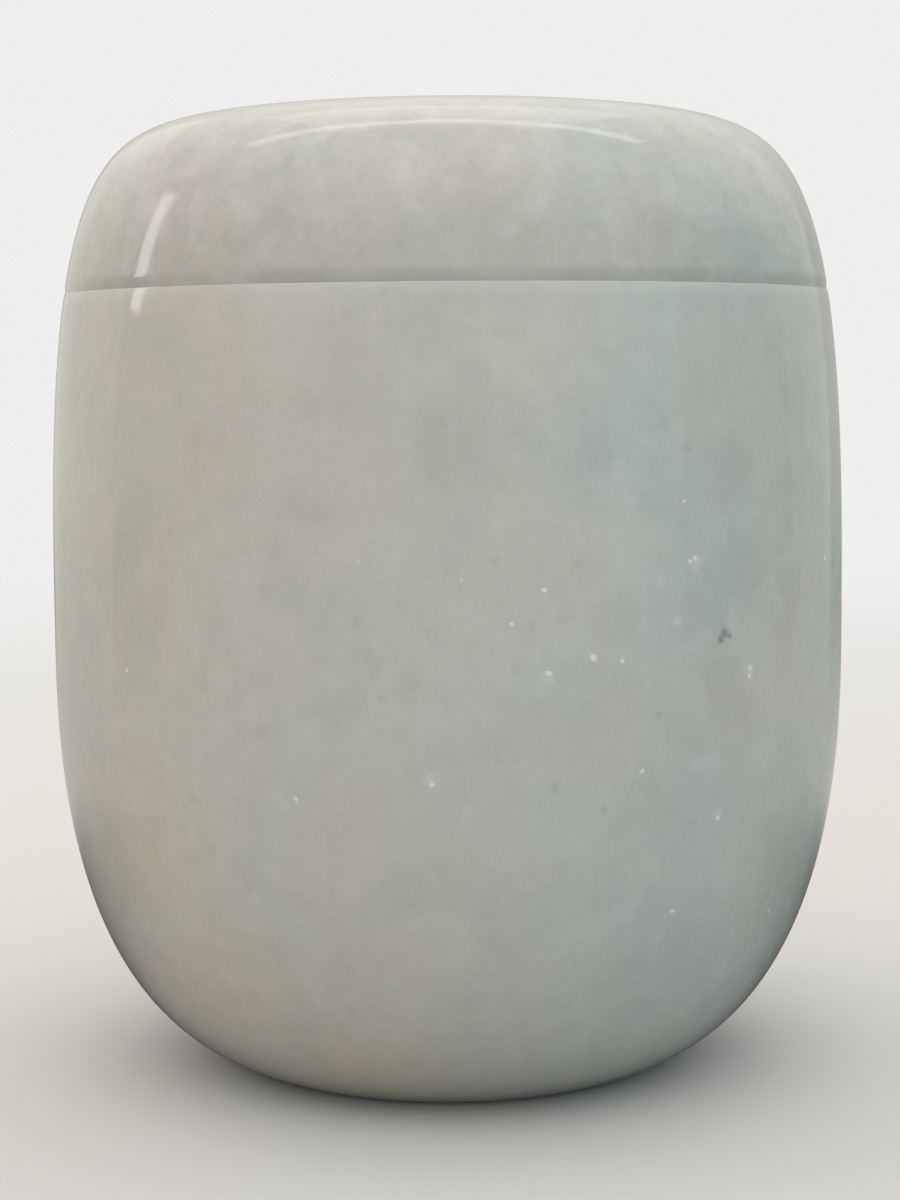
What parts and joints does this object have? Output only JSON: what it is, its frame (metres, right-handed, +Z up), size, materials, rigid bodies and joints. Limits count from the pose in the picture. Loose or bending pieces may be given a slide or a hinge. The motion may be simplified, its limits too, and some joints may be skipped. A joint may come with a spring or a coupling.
{
  "type": "cremation urn",
  "caption": "Round-shouldered turned stone urn, hollow, with a low domed lid that lifts off and a small flat foot.",
  "frame": {"origin": "middle of the flat foot, on the ground", "axes": "+Z up along the axis of turning; -Y faces the viewer of the picture"},
  "size_m": [0.2, 0.2, 0.24],
  "materials": {
    "body_marble": "polished",
    "lid_marble": "polished"
  },
  "bodies": {
    "root": {"urn_body": "body_marble", "urn_lid": "lid_marble"}
  },
  "joints": []
}
